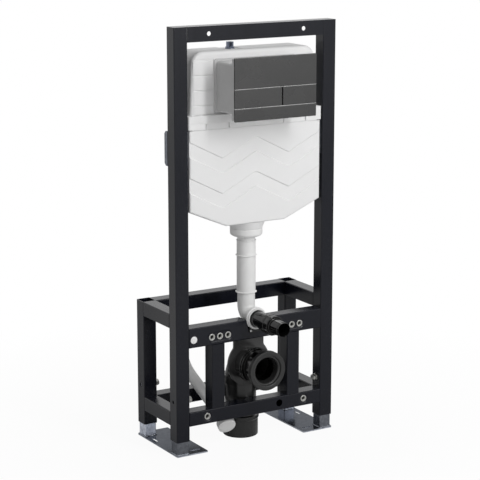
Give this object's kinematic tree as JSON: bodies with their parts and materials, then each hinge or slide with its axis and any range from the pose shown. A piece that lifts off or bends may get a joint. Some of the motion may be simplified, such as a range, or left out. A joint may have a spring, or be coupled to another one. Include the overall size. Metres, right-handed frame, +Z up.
{
  "type": "wall hung toilet frame",
  "caption": "Free-standing steel frame that carries a wall hung toilet, with a concealed cistern, flush plate, flush pipe and waste elbow on height-adjustable feet.",
  "frame": {"origin": "on the floor, in the middle of the part's plan", "axes": "+X to the right seen from the front, +Y back to the wall, +Z up"},
  "size_m": [0.5, 0.4051, 1.155],
  "materials": {
    "frame_paint": "satin black powder coat",
    "galvanised_steel": "zinc coated sheet",
    "zinc_steel": "zinc plated",
    "white_foam": "fine moulded foam skin",
    "white_plastic": "smooth moulded",
    "grey_plastic": "smooth moulded",
    "plate_grey": "matt anthracite lacquer",
    "black_plastic": "glossy moulded",
    "seal_rubber": "smooth",
    "inlet_metal": "plated"
  },
  "bodies": {
    "frame": {"upright_left": "frame_paint", "upright_right": "frame_paint", "rear_post_left": "frame_paint", "rear_post_right": "frame_paint", "inner_post_left": "frame_paint", "inner_post_right": "frame_paint", "upper_side_rail_left": "frame_paint", "upper_side_rail_right": "frame_paint", "lower_side_rail_left": "frame_paint", "lower_side_rail_right": "frame_paint", "top_crossbar": "frame_paint", "bowl_crossbar": "frame_paint", "lower_crossbar": "frame_paint", "rear_top_rail": "frame_paint", "rear_lower_rail": "frame_paint", "cistern_brackets": "galvanised_steel", "bolt_inserts": "zinc_steel", "leg_clamp_bolts": "zinc_steel", "crossbar_plug": "white_plastic", "cistern_tank": "white_foam", "cistern_cover": "white_foam", "inlet_fitting": "inlet_metal", "access_shaft": "grey_plastic", "plate_carrier": "grey_plastic", "flush_plate_upper": "plate_grey", "flush_plate_lower": "plate_grey", "flush_collar_nut": "white_plastic", "flush_pipe": "white_plastic", "flush_cradle": "black_plastic", "flush_connector": "black_plastic", "connector_coupling": "black_plastic", "waste_spigot": "black_plastic", "waste_seal": "seal_rubber", "waste_elbow": "black_plastic", "waste_outlet": "black_plastic", "stub_pipe": "white_plastic", "stub_cap": "white_plastic"},
    "left_foot": {"foot_plate_left": "galvanised_steel", "front_leg_left": "galvanised_steel", "rear_leg_left": "galvanised_steel"},
    "right_foot": {"foot_plate_right": "galvanised_steel", "front_leg_right": "galvanised_steel", "rear_leg_right": "galvanised_steel"},
    "full_button": {"full_flush_button": "plate_grey"},
    "half_button": {"half_flush_button": "plate_grey"}
  },
  "joints": [
    {"name": "left_foot_slide", "type": "slide", "parent": "frame", "child": "left_foot", "axis": [0, 0, -1], "range_m": [-0.03, 0.15]},
    {"name": "right_foot_slide", "type": "slide", "parent": "frame", "child": "right_foot", "axis": [0, 0, -1], "range_m": [-0.03, 0.15]},
    {"name": "full_button_press", "type": "slide", "parent": "frame", "child": "full_button", "axis": [0, 1, 0], "range_m": [0, 0.006], "stiffness_N_per_m": 800},
    {"name": "half_button_press", "type": "slide", "parent": "frame", "child": "half_button", "axis": [0, 1, 0], "range_m": [0, 0.006], "stiffness_N_per_m": 800}
  ]
}
